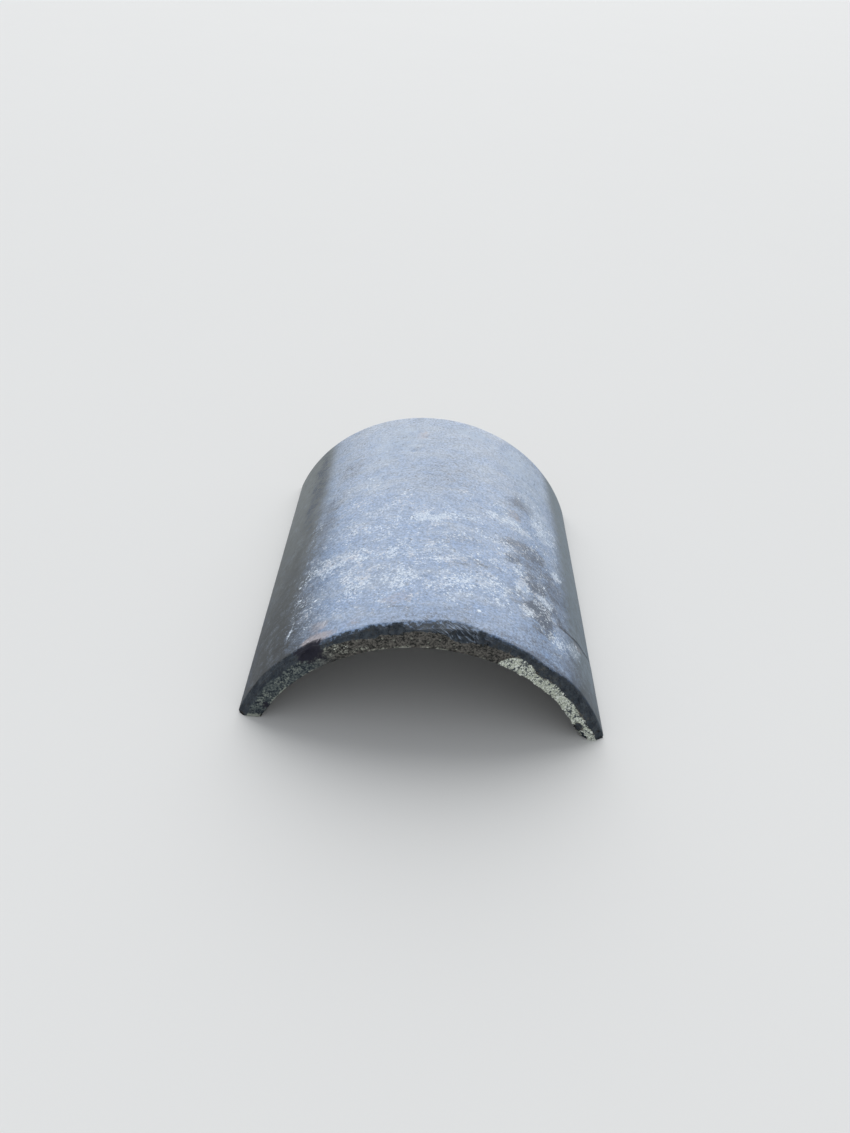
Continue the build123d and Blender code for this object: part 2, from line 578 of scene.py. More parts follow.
class Field:
    """A number in a node tree, which adds Math nodes when it is used in a formula."""

    def __init__(self, maker, socket):
        self.maker = maker
        self.socket = socket

    def __add__(self, other):
        return self.maker.math("ADD", self, other)

    def __sub__(self, other):
        return self.maker.math("SUBTRACT", self, other)

    def __rsub__(self, other):
        return self.maker.math("SUBTRACT", other, self)

    def __mul__(self, other):
        return self.maker.math("MULTIPLY", self, other)

    def __truediv__(self, other):
        return self.maker.math("DIVIDE", self, other)

    def __rtruediv__(self, other):
        return self.maker.math("DIVIDE", other, self)

    __radd__ = __add__
    __rmul__ = __mul__


def opaque(colour):
    """A setting's colour with full alpha. A socket stays as it is."""
    return colour if isinstance(colour, NodeSocket) else (*colour, 1.0)


class Maker:
    """Adds nodes to one tree. An input is a value, a Field, a socket, or a node for its first output."""

    def __init__(self, tree):
        self.tree = tree

    def add(self, kind, inputs=None, **settings):
        """One node with its settings, and its inputs by their names or numbers."""
        node = self.tree.nodes.new(kind)
        for name, value in settings.items():
            setattr(node, name, value)
        for key, value in (inputs or {}).items():
            self.plug(node.inputs[key], value)
        return node

    def plug(self, socket, value):
        """Feeds a socket."""
        if isinstance(value, Field):
            value = value.socket
        if isinstance(value, Node):
            value = value.outputs[0]
        if isinstance(value, NodeSocket):
            self.tree.links.new(value, socket)
        else:
            socket.default_value = value

    def field(self, node, output=0):
        """One output of a node, for formulas."""
        return Field(self, node.outputs[output])

    def math(self, operation, *values):
        """One Math node."""
        return self.field(self.add("ShaderNodeMath", dict(enumerate(values)), operation=operation))

    def scale(self, vector, factor):
        """A vector times a number."""
        return self.add("ShaderNodeVectorMath", {0: vector, "Scale": factor}, operation="SCALE")

    def multiply(self, vector, factors):
        """A vector times another, axis by axis."""
        return self.add("ShaderNodeVectorMath", {0: vector, 1: factors}, operation="MULTIPLY")

    def ramp(self, value, low, high, to_low=0.0, to_high=1.0):
        """Turns a range of a number into another range, smoothly and without going past its ends."""
        inputs = {"Value": value, 1: low, 2: high, 3: to_low, 4: to_high}
        return self.field(self.add("ShaderNodeMapRange", inputs, interpolation_type="SMOOTHSTEP"))

    def noise(self, vector, size, detail=3.0, roughness=0.55, stretch=None):
        """Soft noise of about 0 to 1 with blotches of the given size."""
        if stretch is not None:
            vector = self.multiply(vector, stretch)
        inputs = {"Vector": vector, "Scale": 1 / size, "Detail": detail, "Roughness": roughness}
        return self.field(self.add("ShaderNodeTexNoise", inputs))

    def blend(self, mask, first, second):
        """The first colour where the mask is 0 and the second where it is 1."""
        inputs = {0: mask, 6: opaque(first), 7: opaque(second)}
        return self.add("ShaderNodeMix", inputs, data_type="RGBA").outputs[2]

    def close(self, *results):
        """Puts results out of a group's tree, and returns the tree."""
        self.add("NodeGroupOutput", dict(enumerate(results)))
        return self.tree

    def then(self, kind, geometry, **inputs):
        """The next step of a geometry tree, after the geometry that it works on."""
        return self.add("GeometryNode" + kind, {"Geometry": geometry, **inputs})

    def stored(self, name):
        """A number that the points of a geometry carry."""
        return self.field(self.add("GeometryNodeInputNamedAttribute", {"Name": name}, data_type="FLOAT"))

    def over(self, value, limit):
        """Where a number is above a limit."""
        inputs = {0: value, 1: limit}
        return self.add("FunctionNodeCompare", inputs, data_type="FLOAT", operation="GREATER_THAN")

    def chance(self, most, seed):
        """A random number from 0 to the given one for each point."""
        inputs = {2: 0.0, 3: most, "Seed": seed}
        return self.field(self.add("FunctionNodeRandomValue", inputs, data_type="FLOAT"), 1)


GEOMETRY = "NodeSocketGeometry"
MATERIAL = "NodeSocketMaterial"
STRING = "NodeSocketString"
VECTOR = "NodeSocketVector"
FLOAT = "NodeSocketFloat"
VALUE_SOCKETS = {float: FLOAT, int: "NodeSocketInt"}


def tree_with(kind, name, inputs, outputs):
    """The maker of a new node tree, and its inputs as fields. Each input has a default or a socket type."""
    tree = bpy.data.node_groups.new(name, kind)
    for label, given in inputs.items():
        socket_type = VALUE_SOCKETS.get(type(given), given)
        socket = tree.interface.new_socket(label, in_out="INPUT", socket_type=socket_type)
        if socket_type != given:
            socket.default_value = given
    for label, socket_type in outputs.items():
        tree.interface.new_socket(label, in_out="OUTPUT", socket_type=socket_type)
    maker = Maker(tree)
    entry = maker.add("NodeGroupInput")
    return maker, {label: maker.field(entry, label) for label in inputs}


def run_tree(piece, tree, values):
    """Runs a Geometry Nodes tree on a piece and keeps the result as its plain mesh."""
    modifier = piece.modifiers.new(tree.name, "NODES")
    modifier.node_group = tree
    for item in tree.interface.items_tree:
        if item.item_type == "SOCKET" and item.in_out == "INPUT" and item.name in values:
            modifier[item.identifier] = values[item.name]
    piece.update_tag()
    depsgraph = bpy.context.evaluated_depsgraph_get()
    made = bpy.data.meshes.new_from_object(
        piece.evaluated_get(depsgraph), preserve_all_data_layers=True, depsgraph=depsgraph
    )
    piece.modifiers.remove(modifier)
    spent = piece.data
    piece.data = made
    bpy.data.meshes.remove(spent)
    made.name = piece.name


SLAB_INPUTS = {
    "Inner Radius": 0.1,
    "Wall": 0.01,
    "Axis Height": 0.0,
    "Near End": 0.0,
    "Length": 0.3,
    "Far Lean": 0.0,
    "Columns": 10,
    "Rows": 10,
    "Layers": 3,
    "Crowding": 0.5,
    "Clay": MATERIAL,
}
NEAR_CROWDING = 1.12


def slab_tree():
    """Bends a gridded slab round the barrel's axis, with its feet in the plane of the bed."""
    make, given = tree_with("GeometryNodeTree", "Bent slab", SLAB_INPUTS, {"Geometry": GEOMETRY})
    slab = make.add(
        "GeometryNodeMeshCube",
        {
            "Size": (2.0, 1.0, 1.0),
            "Vertices X": given["Columns"],
            "Vertices Y": given["Rows"],
            "Vertices Z": given["Layers"],
        },
    )
    place = make.add("ShaderNodeSeparateXYZ", {0: make.add("GeometryNodeInputPosition")})
    across, ahead, up = (make.field(place, axis) for axis in range(3))
    share = ahead + 0.5
    radius = given["Inner Radius"] + (up + 0.5) * given["Wall"]
    angle = across * make.math("ARCCOSINE", 0.0 - given["Axis Height"] / radius)
    x = radius * make.math("SINE", angle)
    z = given["Axis Height"] + radius * make.math("COSINE", angle)
    # Rows crowd towards both ends, and more so at the near one
    wave = make.math("SINE", share * (2 * pi)) * (given["Crowding"] / (2 * pi))
    crowded = make.math("POWER", share, NEAR_CROWDING) - wave
    y = given["Near End"] + crowded * (given["Length"] - x * given["Far Lean"])
    there = make.add("ShaderNodeCombineXYZ", {0: x, 1: y, 2: z})
    bent = make.then("SetPosition", slab, Position=there)
    real = make.then("RealizeInstances", make.then("SetShadeSmooth", bent))
    return make.close(make.then("SetMaterial", real, Material=given["Clay"]))


RELIEF_INPUTS = {
    "Geometry": GEOMETRY,
    "Skin": 0.0,
    "Cut": 0.0,
    "Broken": 0.0,
    "Drag": 0.0,
    "Skin Finish": MATERIAL,
    "Bare Finish": MATERIAL,
}
DRAG_MARKS = {"size": 0.0035, "detail": 3.0, "stretch": (1.0, 0.08, 1.0)}


def relief_tree():
    """Sinks the settled clay by the unevenness of its skin, cut ends, broken arris and underside."""
    make, given = tree_with("GeometryNodeTree", "Clay relief", RELIEF_INPUTS, {"Geometry": GEOMETRY})
    place = make.add("GeometryNodeInputPosition")
    skin = make.noise(place, 0.022, detail=2.0) * 0.6 + make.noise(place, 0.0045, detail=2.0) * 0.4
    cut = make.noise(place, 0.0040, roughness=0.65, stretch=(1.0, 0.6, 1.0))
    crag = make.noise(place, 0.0060, detail=4.0, roughness=0.6)
    drag = make.noise(place, **DRAG_MARKS)
    sink = (
        skin * given["Skin"] * make.stored("skin")
        + cut * given["Cut"] * make.stored("cut")
        + crag * given["Broken"] * make.stored("broken")
        + drag * given["Drag"] * make.stored("under")
    )
    inward = make.scale(make.add("GeometryNodeInputNormal"), 0.0 - sink)
    moved = make.then("SetPosition", given["Geometry"], Offset=inward)
    real = make.then("RealizeInstances", moved)
    clad = make.then("SetMaterial", real, Material=given["Skin Finish"])
    is_bare = make.stored("broken") + make.stored("cut") + make.stored("under") + make.stored("crease")
    bare = make.over(is_bare, 0.5)
    return make.close(make.then("SetMaterial", clad, Selection=bare, Material=given["Bare Finish"]))


LUMP_INPUTS = {
    "Geometry": GEOMETRY,
    "Mask": STRING,
    "Spacing": 0.002,
    "Density": 10000.0,
    "Smallest": 0.0004,
    "Largest": 0.001,
    "Thickness": 0.4,
    "Raggedness": 0.3,
    "Seed": 0,
    "Finish": MATERIAL,
}
LUMP_SMALLEST_SHAPE = (0.45, 0.45, 0.6)
LUMP_LARGEST_SHAPE = (1.55, 1.35, 1.2)
SHAPE_SEED = 5
SPIN_SEED = 9
FEW_LARGE = 3.5
LUMP_BUMPS = 0.0011


def lump_points(make, given):
    """Points over the faces that the named mask covers, and a turn that spins each about its normal."""
    mask = make.stored(given["Mask"])
    patch = make.add(
        "GeometryNodeSeparateGeometry",
        {"Geometry": given["Geometry"], "Selection": make.over(mask, 0.02)},
        domain="FACE",
    )
    points = make.add(
        "GeometryNodeDistributePointsOnFaces",
        {
            "Mesh": patch,
            "Distance Min": given["Spacing"],
            "Density Max": given["Density"],
            "Density Factor": mask,
            "Seed": given["Seed"],
        },
        distribute_method="POISSON",
    )
    spin = make.add("ShaderNodeCombineXYZ", {2: make.chance(2 * pi, SPIN_SEED)})
    turned = {0: points.outputs["Rotation"], 1: spin}
    return points, make.add("FunctionNodeRotateRotation", turned, rotation_space="LOCAL")


def lump_scale(make, given, chance):
    """Scale of each lump: few are large, all are flat, and no two are alike."""
    size = given["Smallest"] + make.math("POWER", chance, FEW_LARGE) * (given["Largest"] - given["Smallest"])
    shape = make.add(
        "FunctionNodeRandomValue",
        {0: LUMP_SMALLEST_SHAPE, 1: LUMP_LARGEST_SHAPE, "Seed": SHAPE_SEED},
        data_type="FLOAT_VECTOR",
    )
    flat = make.add("ShaderNodeCombineXYZ", {0: 1.0, 1: 1.0, 2: given["Thickness"]})
    return make.scale(make.multiply(shape, flat), size)


def lump_tree():
    """Scatters flattened lumps over the part of the clay that a named mask covers."""
    make, given = tree_with("GeometryNodeTree", "Scattered lumps", LUMP_INPUTS, {"Geometry": GEOMETRY})
    points, turn = lump_points(make, given)
    chance = make.chance(1.0, given["Seed"])
    lump = make.add("GeometryNodeMeshUVSphere", {"Segments": 6, "Rings": 4, "Radius": 1.0})
    scale = lump_scale(make, given, chance)
    stuck = {"Points": points, "Instance": lump, "Rotation": turn, "Scale": scale}
    toned = make.add(
        "GeometryNodeStoreNamedAttribute",
        {"Geometry": make.add("GeometryNodeInstanceOnPoints", stuck), "Name": "tone", "Value": chance},
        data_type="FLOAT",
        domain="INSTANCE",
    )
    real = make.then("RealizeInstances", toned)
    bumps = make.noise(make.add("GeometryNodeInputPosition"), LUMP_BUMPS, detail=2.0) - 0.5
    push = make.scale(make.add("GeometryNodeInputNormal"), bumps * given["Raggedness"] * given["Largest"])
    ragged = make.then("SetShadeSmooth", make.then("SetPosition", real, Offset=push))
    return make.close(make.then("SetMaterial", ragged, Material=given["Finish"]))


# Shader node groups that several finishes share. Each reads a vector, and its pattern has a size in metres.


def pattern_tree(name, inputs, outputs=("Mask",)):
    """The maker of a new shader group, its inputs as fields, and its vector scaled to the pattern's size."""
    inputs = {"Vector": VECTOR, **inputs}
    make, given = tree_with("ShaderNodeTree", name, inputs, dict.fromkeys(outputs, FLOAT))
    return make, given, make.scale(given["Vector"], 1.0 / given["Size"])


def mottle_group():
    """Broad soft blotches with finer ones inside them."""
    make, given, scaled = pattern_tree("Mottle", {"Size": 0.01, "Contrast": 1.0})
    broad = make.noise(scaled, 1.0, detail=2.0)
    fine = make.noise(scaled, 0.23, roughness=0.6)
    mixed = (broad * 0.62 + fine * 0.38 - 0.5) * given["Contrast"] * 3.0 + 0.5
    return make.close(make.ramp(mixed, 0.0, 1.0))


def speck_group():
    """Sparse round specks, each of its own size."""
    make, given, scaled = pattern_tree("Specks", {"Size": 0.002, "Share": 0.3})
    warp = make.add("ShaderNodeTexNoise", {"Vector": scaled, "Scale": 2.2, "Detail": 2.0})
    warped = {0: warp.outputs["Color"], 1: (0.55, 0.55, 0.55), 2: scaled}
    bent = make.add("ShaderNodeVectorMath", warped, operation="MULTIPLY_ADD")
    cells = make.add("ShaderNodeTexVoronoi", {"Vector": bent, "Scale": 1.0})
    pick = make.add("ShaderNodeSeparateColor", {0: cells.outputs["Color"]})
    chosen = make.ramp(make.field(pick), 1.0 - given["Share"], 1.02 - given["Share"])
    radius = make.field(pick, 1) * 0.32 + 0.14
    inside = make.ramp(make.field(cells, "Distance") / radius, 1.15, 0.7)
    return make.close(chosen * inside)


def grain_group():
    """Height of fired clay's fine grain: gritty, with open pores."""
    make, given, scaled = pattern_tree("Clay grain", {"Size": 0.001, "Pores": 0.3}, ("Height", "Pore"))
    grit = make.noise(scaled, 1.0, detail=4.0, roughness=0.62)
    holes = make.add("ShaderNodeTexVoronoi", {"Vector": scaled, "Scale": 0.42})
    pick = make.field(make.add("ShaderNodeSeparateColor", {0: holes.outputs["Color"]}))
    open_pore = make.ramp(pick, 1.0 - given["Pores"], 1.02 - given["Pores"])
    pore = open_pore * make.ramp(make.field(holes, "Distance"), 0.34, 0.16)
    return make.close(grit - pore * 0.8, pore)


GROUPS = {"Mottle": mottle_group, "Specks": speck_group, "Clay grain": grain_group}


# Finishes


class Finish(Maker):
    """A new material with its principled shader, and what its patterns read."""

    def __init__(self, name, colours=None):
        self.colours = colours
        self.material = bpy.data.materials.new(name)
        self.material.use_nodes = True
        super().__init__(self.material.node_tree)
        self.tree.nodes.clear()
        self.shader = self.add("ShaderNodeBsdfPrincipled")
        self.add("ShaderNodeOutputMaterial", {0: self.shader})
        self.place = self.add("ShaderNodeTexCoord").outputs["Object"]

    def blend(self, mask, *colours):
        """The first colour where the mask is 0 and the second where it is 1. Settings go by their names."""
        return super().blend(mask, *(getattr(self.colours, x) if isinstance(x, str) else x for x in colours))

    def mark(self, name):
        """An attribute of the mesh."""
        return self.field(self.add("ShaderNodeAttribute", attribute_name=name), "Fac")

    def ahead(self):
        """The distance along the tile from its middle."""
        return self.field(self.add("ShaderNodeSeparateXYZ", {0: self.place}), 1)

    def group(self, name, output=0, **inputs):
        """One output of a shared group, which is built when it is first used."""
        tree = bpy.data.node_groups.get(name) or GROUPS[name]()
        node = self.add("ShaderNodeGroup", {"Vector": self.place, **inputs}, node_tree=tree)
        return self.field(node, output)

    def mottle(self, size, contrast):
        """Blotches of a size and contrast."""
        return self.group("Mottle", Size=size, Contrast=contrast)

    def feed(self, **inputs):
        """Plugs inputs into the shader, under their names with underscores for spaces."""
        for label, value in inputs.items():
            self.plug(self.shader.inputs[label.replace("_", " ")], value)

    def bump(self, height, depth, **after):
        """A bump whose heights are a share of the given depth in metres."""
        return self.add("ShaderNodeBump", {"Height": height, "Distance": depth, "Strength": 1.0, **after})


# Size of the patches that run through the skin's colours
PATCH = 0.0065


def bare_colour(finish):
    """Dark fired clay in blotches, blacker towards the near end; the lighter far part is painted reflection.
    """
    blotch = finish.mottle(0.030, 1.0)
    patch = finish.mottle(PATCH, 1.2)
    ahead = finish.ahead()
    # Painted reflection: the clay turns lighter towards the far end.
    tone = finish.ramp(ahead, -0.16, 0.16) * 0.8
    tone += (blotch * 0.15 + patch * 0.12) * finish.ramp(ahead, -0.16, 0.0, 0.4, 1.0)
    return finish.blend(tone, "body_dark", "body")


def film_and_sheen_colour(finish):
    """Slate blue film with greyer blotches, and streaks washed round the barrel. It is partly real bloom and
    partly painted reflection of the sky, which turns paler and greyer towards the far end.
    """
    blotch = finish.mottle(0.024, 1.2)
    patch = finish.mottle(PATCH, 1.2)
    freckle = finish.mottle(0.0019, 2.1)
    wash = finish.noise(finish.place, 0.012, stretch=(0.22, 1.0, 0.4))
    grey = finish.ramp(finish.ahead(), -0.06, 0.14) * 0.45 + blotch * 0.35 + patch * 0.25
    film = finish.blend(grey + finish.ramp(wash, 0.42, 0.70) * 0.35, "bloom", "bloom_grey")
    return finish.blend((1.0 - freckle) * 0.42 + (1.0 - patch) * 0.06, film, "soot")


def skin_colour(finish):
    """Film over bare clay, with sooty and chalky clouds, rust, specks of lime and grime. The film and some
    chalky clouds are partly painted reflection of the sky, and one sooty cloud and the lip's crease are
    painted shade.
    """
    blotch = finish.mottle(0.019, 1.2)
    patch = finish.mottle(PATCH, 1.2)
    crumb = finish.mottle(0.0024, 1.5)
    freckle = finish.mottle(0.0014, 1.5)
    streak = finish.noise(finish.place, 0.0030, roughness=0.6, stretch=(0.22, 1.0, 0.22)) - 0.5
    uneven = (freckle - 0.5) * 0.5 + (patch - 0.5) * 0.4
    veil = finish.mark("veil") * (0.55 + 0.35 * patch)
    skin = finish.blend(veil, bare_colour(finish), "veil")
    # The film is partly painted reflection of the sky on the crown.
    film_and_sheen_share = finish.ramp(finish.mark("film") + uneven * 0.5, 0.0, 1.05)
    skin = finish.blend(film_and_sheen_share, skin, film_and_sheen_colour(finish))
    # Sooty clouds, one of which is painted shade along the left foot.
    soot = finish.ramp(finish.mark("soot") + uneven * 1.1 + streak * 1.2, 0.05, 0.95)
    skin = finish.blend(soot * 0.90, skin, "soot")
    # Chalky clouds, some of which are painted sheen.
    haze = finish.mark("chalk") + (blotch - 0.5) * 0.4 + uneven * 0.4 + streak * 0.9
    skin = finish.blend(finish.ramp(haze, 0.05, 1.05) * 0.50, skin, "chalk")
    salmon = finish.ramp(finish.mark("salmon") * (1.0 + uneven * 1.2), 0.1, 0.95)
    skin = finish.blend(salmon * 0.6, skin, "salmon")
    scatter = crumb * 0.35 + freckle * 0.40 + patch * 0.25 + streak * 0.3
    salt = finish.ramp(scatter - (1.0 - finish.mark("speckle") * 0.60), -0.06, 0.15)
    whitish = finish.blend(freckle, "chalk", "lime")
    tinted = finish.blend(finish.ramp(blotch, 0.55, 0.9) * 0.35, whitish, "salmon")
    skin = finish.blend(salt * 0.72, skin, tinted)
    # Painted shade, with some dirt, along the crease of the lip.
    crease = finish.ramp(finish.mark("crease") * (0.75 + patch * 0.5) + uneven * 0.5, 0.15, 0.85)
    skin = finish.blend(crease * 0.80, skin, "body_dark")
    return finish.blend(finish.group("Specks", Size=0.0026, Share=0.07) * 0.5, skin, "body_dark")


def end_colour(finish):
    """Wire-cut core with pores and pale grains, and its greenish weathered rim."""
    patch = finish.mottle(0.0038, 1.2)
    freckle = finish.mottle(0.0013, 1.8)
    drawn = finish.noise(finish.place, 0.0019, roughness=0.6, stretch=(0.3, 1.0, 1.0))
    tone = finish.ramp(patch * 0.22 + freckle * 0.30 + drawn * 0.48, 0.26, 0.74)
    core = finish.blend(tone, "core_dark", "core")
    slate = finish.blend(tone, "broken", "slate")
    core = finish.blend(finish.mark("slate"), core, slate)
    grains = finish.group("Specks", Size=0.0018, Share=0.10)
    core = finish.blend(grains * 0.30, core, "lichen")
    pale = finish.ramp(finish.mark("rim") + (freckle - 0.5) * 0.6 + (patch - 0.5) * 0.5, 0.40, 1.2)
    return finish.blend(pale * 0.55, core, "lichen")


def broken_colour(finish):
    """Blackened broken clay with fine bluish strokes drawn across it."""
    patch = finish.mottle(0.0055, 1.3)
    freckle = finish.mottle(0.0012, 1.4)
    lighter = patch * 0.75 + freckle * 0.3 + finish.mark("cut") * 0.2 - 0.15
    dark = finish.blend(lighter, "broken", "worn")
    slanted = finish.add("ShaderNodeMapping", {"Vector": finish.place, "Rotation": (0.0, 0.0, radians(32))})
    stroke = finish.noise(slanted, 0.0014, detail=2.0, stretch=(0.10, 1.0, 0.5))
    drawn = finish.ramp(stroke, 0.50, 0.68) * finish.mark("strokes")
    return finish.blend(drawn * 0.55, dark, "bloom_grey")


def crust_colour(finish):
    """Mortar and lichen, with darker gaps between the grains."""
    freckle = finish.mottle(0.0018, 2.0)
    patch = finish.mottle(0.0045, 1.4)
    tone = finish.ramp(freckle * 0.6 + patch * 0.4, 0.24, 0.62)
    return finish.blend(tone, "worn", "lichen")


def underside_colour(finish):
    """Rough clay of the inside, darkened in its drag marks."""
    drag = finish.noise(finish.place, **DRAG_MARKS)
    tone = finish.ramp(drag, 0.35, 0.7) * 0.6 + finish.mottle(0.018, 1.2) * 0.4
    return finish.blend(tone, "core_dark", "underside")


def clay_colour(finish, is_skin, is_cut, broken, fret):
    """Colour of every face of the clay, with the stain and the crust on the near end."""
    colour = finish.blend(is_skin, underside_colour(finish), skin_colour(finish))
    colour = finish.blend(is_cut, colour, end_colour(finish))
    colour = finish.blend(broken, colour, broken_colour(finish))
    violet = finish.ramp(finish.mark("violet") + fret * 0.5, 0.3, 0.7)
    colour = finish.blend(violet * 0.85, colour, "violet")
    crust = finish.ramp(finish.mark("crust") + fret * 0.5, 0.25, 0.75)
    return finish.blend(crust, colour, crust_colour(finish))


def clay_finish(name, gloss, colours):
    """The fired clay of skin, ends, broken arris and underside, with its gloss."""
    finish = Finish(name, colours)
    fret = finish.mottle(0.0024, 1.2) - 0.5
    broken = finish.ramp(finish.mark("brink") + fret * 0.7, -0.62, 0.0)
    is_skin = finish.ramp(finish.mark("skin"), 0.35, 0.65)
    is_cut = finish.ramp(finish.mark("cut"), 0.35, 0.65)
    bare = 1.0 - is_skin * (1.0 - is_cut)
    pore = finish.group("Clay grain", output=1, Size=0.0009, Pores=0.16)
    colour = clay_colour(finish, is_skin, is_cut, broken, fret)
    colour = finish.blend(pore * bare * 0.5, colour, "core_dark")
    smoothness = is_skin * (1.0 - finish.mark("chalk") * 0.5) * (1.0 - is_cut)
    smoothness = smoothness * (0.25 + 0.75 * finish.mark("film"))
    roughness = 0.82 - smoothness * (0.34 + finish.mottle(0.0090, 1.0) * 0.12) - broken * 0.12
    coarse = finish.group("Clay grain", Size=0.0030, Pores=0.20) * (0.25 + 0.75 * bare)
    fine = finish.group("Clay grain", Size=0.0009, Pores=0.10) * (0.5 + 0.5 * bare)
    bump = finish.bump(fine, 0.00016, Normal=finish.bump(coarse, 0.00050))
    finish.feed(Base_Color=colour, Roughness=roughness, Normal=bump, IOR=1.55, Specular_IOR_Level=gloss)
    return finish.material


def lump_finish(name, dark, light, roughness, colours):
    """Crumbly lime: each lump has its own tone, with darker hollows."""
    finish = Finish(name, colours)
    tone = finish.mark("tone") * 0.5 + finish.mottle(0.0012, 1.4) * 0.25 + finish.mottle(0.0060, 1.4) * 0.25
    colour = finish.blend(finish.ramp(tone, 0.15, 0.58), dark, light)
    bump = finish.bump(finish.group("Clay grain", Size=0.0007, Pores=0.3), 0.00012)
    finish.feed(Base_Color=colour, Roughness=roughness, Normal=bump)
    return finish.material


def floor_finish(colour):
    """Plain pale matt floor."""
    finish = Finish("Pale floor")
    tint = finish.blend(finish.mottle(0.9, 0.3), [0.985 * part for part in colour], colour)
    finish.feed(Base_Color=tint, Roughness=0.9, Specular_IOR_Level=0.2)
    return finish.material


# Pieces


def new_piece(name, mesh=None):
    """A mesh object at the origin of the shared frame."""
    piece = bpy.data.objects.new(name, mesh or bpy.data.meshes.new(name))
    bpy.context.scene.collection.objects.link(piece)
    return piece


def get_points(mesh):
    """The places of a mesh's vertices."""
    flat = np.empty(len(mesh.vertices) * 3)
    mesh.vertices.foreach_get("co", flat)
    return flat.reshape(-1, 3)


def set_points(mesh, points):
    """Moves a mesh's vertices."""
    mesh.vertices.foreach_set("co", points.ravel())
    mesh.update()


def finish_piece(piece):
    """Holds a piece inside the construction's box, and lets it ride with the tile."""
    set_points(piece.data, np.clip(get_points(piece.data), CAD_LOW, CAD_HIGH))
    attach(piece, BODY)


def end_cover(spots, above, wear):
    """Share of the cut ends, without their rounded edges."""
    from_end = np.minimum(spots.along, -spots.past_far) - wear.room
    return step(from_end, 0.0015, 0.0005) * step(spots.depth, 0.0008, 0.0018) * step(above, 0.0004, 0.0012)


def crust_cover(spots, above, ragged, on_end):
    """Shares of the mortar crust on the right of the near end, and of the dark band outside it, which is
    dark clay with painted shade on the worn bevel.
    """
    into_crust = (spots.depth - follow(CRUST_EDGE, spots.degrees, 1)) + 0.0011 * ragged
    inner_rim = step(above, 0.0022, 0.0014) * step(spots.along - 0.001 * ragged, 0.0048, 0.0038)
    fallen = np.array(spots.barrel.place(FALLEN_ANGLE, FALLEN_DEPTH, 0.0))
    away = step(np.linalg.norm(spots.points - fallen, axis=1), FALLEN_RADIUS, FALLEN_RADIUS + 0.0006)
    crust = step(into_crust, -0.0011, 0.0011) * step(spots.degrees, 21.5, 22.7)
    crust *= np.maximum(on_end, inner_rim) * away
    # The band is partly dark clay and partly painted shade on the worn bevel between the skin and the crust.
    band = step(into_crust, 0.0004, -0.0004) * step(spots.degrees, 22, 26)
    return crust, np.maximum(band, 1 - away)


def rim_cover(spots):
    """Share of the pale weathered clay at the left foot, and in a broken line along the inner edge."""
    foot = 1.3 * step(-spots.degrees, 55, 56) * step(spots.points[:, 2], 0.0036, 0.0026)
    foot *= step(spots.depth, 0.0030, 0.0045)
    line = step(spots.depth, 0.0136, 0.0150) * step(spots.degrees, 26, 22)
    line *= 0.15 + 0.85 * smooth(0.5 + 1.2 * cloud(spots.points, 0.009, octaves=2, offset=41.0))
    return np.maximum(foot, line)


def film_and_sheen_cover(spots, ragged):
    """Shares of the pale film, which is partly painted reflection of the sky, of its thinning fringe on the
    left, and of the grey veil on the right.
    """
    degrees, along = spots.degrees, spots.along
    soft = follow(FILM_AND_SHEEN_EDGE, along, 3)
    left = np.clip(0.5 + (degrees - follow(FILM_AND_SHEEN_EDGE, along, 1) + 0.8 * ragged) / soft, 0.0, 1.0)
    right = smooth(0.5 + (follow(FILM_AND_SHEEN_EDGE, along, 2) - degrees + 1.0 * ragged) / (8 + 0.5 * soft))
    veil = left * (1 - right) * (0.4 + 0.6 * step(along, 0.005, 0.055))
    return left * right, 4 * left * (1 - left), veil


def lime_cover(spots, chalk, film, fringe):
    """Shares of the fine speckle of lime, and of the flakes that stand on the skin."""
    front = step(spots.along, 0.170, 0.070)
    middle = step(spots.along, 0.260, 0.140)
    clumps = smooth(0.5 + 1.1 * cloud(spots.points, 0.011, offset=31.0))
    speckle = middle * step(spots.along, 0.008, 0.038) * (0.30 + 0.32 * clumps)
    speckle = speckle * np.maximum(film, 0.7 * fringe)
    speckle = speckle + (0.30 + 0.40 * middle) * chalk + 0.17 * front * fringe
    speckle = np.clip(speckle, 0.0, 1.0)
    bright = cover([Mark(*spot, LIME_REACH, LIME_REACH, 1.0) for spot in LIME_SPOTS], spots, 0.0)
    return speckle, np.maximum(front * clumps * speckle**2, bright)


